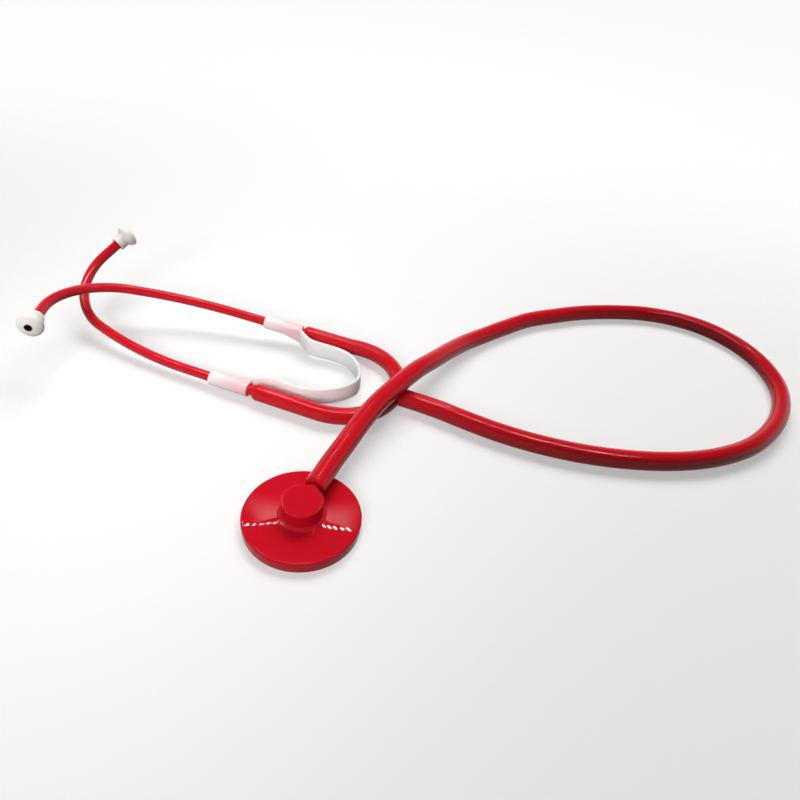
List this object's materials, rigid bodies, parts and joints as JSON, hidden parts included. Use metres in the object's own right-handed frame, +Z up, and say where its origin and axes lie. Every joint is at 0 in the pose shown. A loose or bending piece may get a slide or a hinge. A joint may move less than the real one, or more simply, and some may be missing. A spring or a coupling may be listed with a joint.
{
  "type": "toy stethoscope",
  "caption": "Toy stethoscope with a round chestpiece, a looped soft tube, a fork with a spring leaf and sprung ear tubes with soft ear tips, lying flat.",
  "frame": {"origin": "centre of the chestpiece's contact face, on the table", "axes": "+Z up, away from the contact face; +X from the ear tips towards the fork's stem; -Y side is the wearer's right branch"},
  "size_m": [0.3765, 0.2707, 0.0382],
  "materials": {
    "red_shell": "gloss",
    "film": "satin",
    "red_tube": "gloss",
    "white_leaf": "satin",
    "red_ear": "gloss",
    "white_tip": "satin"
  },
  "bodies": {
    "base": {"chest_body": "red_shell", "diaphragm": "film", "retaining_ring": "red_shell", "main_tube": "red_tube", "fork": "red_tube", "spring_leaf": "white_leaf"},
    "right_swing": {"right_sleeve": "white_leaf"},
    "right_ear": {"right_ear_tube": "red_ear", "right_ear_tip": "white_tip"},
    "left_swing": {"left_sleeve": "white_leaf"},
    "left_ear": {"left_ear_tube": "red_ear", "left_ear_tip": "white_tip"}
  },
  "joints": [
    {"name": "right_spread", "type": "hinge", "parent": "base", "child": "right_swing", "pos_m": [-0.014, 0.0775, 0.0046], "axis": [-0.2385, -0.159, 0.958], "range_deg": [0, 25], "stiffness_Nm_per_rad": 0.57, "deforming": ["fork", "spring_leaf"]},
    {"name": "left_spread", "type": "hinge", "parent": "base", "child": "left_swing", "pos_m": [-0.014, 0.0935, 0.0046], "axis": [0.0054, -0.4224, 0.9064], "range_deg": [-25, 0], "stiffness_Nm_per_rad": 0.57, "deforming": ["fork", "spring_leaf"]},
    {"name": "right_twist", "type": "hinge", "parent": "right_swing", "child": "right_ear", "pos_m": [-0.065, 0.057, 0.0046], "axis": [1, 0, 0], "range_deg": [-20, 0]},
    {"name": "left_twist", "type": "hinge", "parent": "left_swing", "child": "left_ear", "pos_m": [-0.06421, 0.10692, 0.00892], "axis": [-0.9787, -0.169, 0.1167], "range_deg": [0, 20]}
  ],
  "couplings": [
    {"joint": "left_spread", "follows": "right_spread", "ratio": -1}
  ]
}
